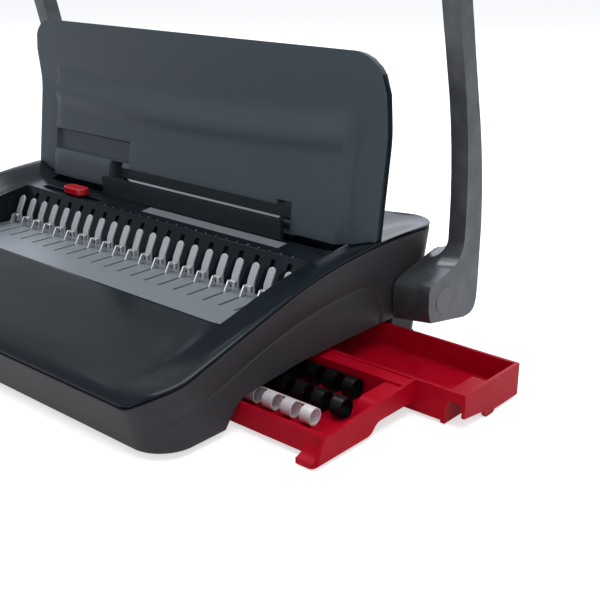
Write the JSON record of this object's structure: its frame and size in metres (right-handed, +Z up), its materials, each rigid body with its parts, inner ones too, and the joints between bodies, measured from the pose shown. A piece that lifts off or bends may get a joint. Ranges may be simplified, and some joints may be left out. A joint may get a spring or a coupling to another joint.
{
  "type": "comb binding machine",
  "caption": "Desktop punch and plastic comb binder with a swing handle, an open lid, a hooked comb bed and a pull-out side tray.",
  "frame": {"origin": "on the table, midway across the body and about midway between its front and rear", "axes": "+X to the right as the user faces it, +Y to the back, +Z up"},
  "size_m": [0.4904, 0.263, 0.2964],
  "materials": {
    "case": "fine matte texture",
    "cover": "high gloss",
    "lid": "satin",
    "trim": "satin",
    "fence": "satin",
    "plate": "satin grey paint",
    "steel": "brushed",
    "tines": "satin light grey",
    "zinc": "zinc plated",
    "bronze": "sintered",
    "handle": "metallic lacquer",
    "cap": "metallic lacquer",
    "rubber": "matte",
    "screw": "black oxide",
    "nylon": "natural",
    "tray_red": "satin",
    "knob_red": "gloss",
    "comb_white": "satin",
    "comb_black": "satin"
  },
  "bodies": {
    "chassis": {"base_pan": "case", "tray_bed": "zinc", "rubber_feet": "rubber", "lower_body": "case", "top_cover": "cover", "recess_back": "cover", "guide_plate": "plate", "comb_plate": "plate", "comb_tines": "tines", "front_bracket": "zinc", "cross_rail": "zinc", "rod_guides": "nylon", "die_plate": "steel", "stripper_plate": "steel", "die_spacers": "zinc", "paper_stop": "zinc", "die_bolts": "screw", "die_mounts": "zinc", "side_frame_right": "zinc", "side_frame_left": "zinc", "shaft_bush_right": "bronze", "shaft_bush_left": "bronze", "frame_screws": "screw", "case_screws": "screw", "return_springs": "steel", "hinge_lugs": "cover", "hinge_pins": "steel", "paper_fence": "fence", "guide_strip": "trim"},
    "handle": {"drive_shaft": "steel", "cam_right": "steel", "cam_left": "steel", "pinion_right": "bronze", "pinion_left": "bronze", "handle_arm_right": "handle", "handle_arm_left": "handle", "pivot_cap_right": "cap", "pivot_cap_left": "cap", "grip_bar": "zinc", "grip_sleeve": "rubber"},
    "punch_carriage": {"pressure_bar": "steel", "pin_keeper": "steel", "punch_pins": "steel"},
    "hook_carriage": {"hook_bar": "zinc", "comb_hooks": "steel", "rack_rod_right": "steel", "rack_rod_left": "steel"},
    "lid": {"lid_shell": "lid", "lid_panel": "lid"},
    "edge_guide": {"edge_knob": "knob_red", "edge_stop": "steel"},
    "tray": {"tray": "tray_red", "comb_white": "comb_white", "comb_black_front": "comb_black", "comb_black_rear": "comb_black"}
  },
  "joints": [
    {"name": "handle_swing", "type": "hinge", "parent": "chassis", "child": "handle", "pos_m": [0, 0.0875, 0.0431], "axis": [1, 0, 0], "range_deg": [0, 86]},
    {"name": "punch_slide", "type": "slide", "parent": "chassis", "child": "punch_carriage", "axis": [0, -1, 0], "range_m": [0, 0.009], "deforming": ["return_springs"]},
    {"name": "hook_slide", "type": "slide", "parent": "chassis", "child": "hook_carriage", "axis": [0, -1, 0], "range_m": [0, 0.0188]},
    {"name": "lid_hinge", "type": "hinge", "parent": "chassis", "child": "lid", "pos_m": [0, 0.0585, 0.0795], "axis": [1, 0, 0], "range_deg": [0, 101.5]},
    {"name": "edge_guide_slide", "type": "slide", "parent": "chassis", "child": "edge_guide", "axis": [1, 0, 0], "range_m": [-0.038, 0.026]},
    {"name": "tray_slide", "type": "slide", "parent": "chassis", "child": "tray", "axis": [1, 0, 0], "range_m": [-0.063, 0.19]}
  ],
  "couplings": [
    {"joint": "punch_slide", "follows": "handle_swing", "m_per_rad": 0.005996},
    {"joint": "hook_slide", "follows": "handle_swing", "m_per_rad": 0.0125}
  ]
}
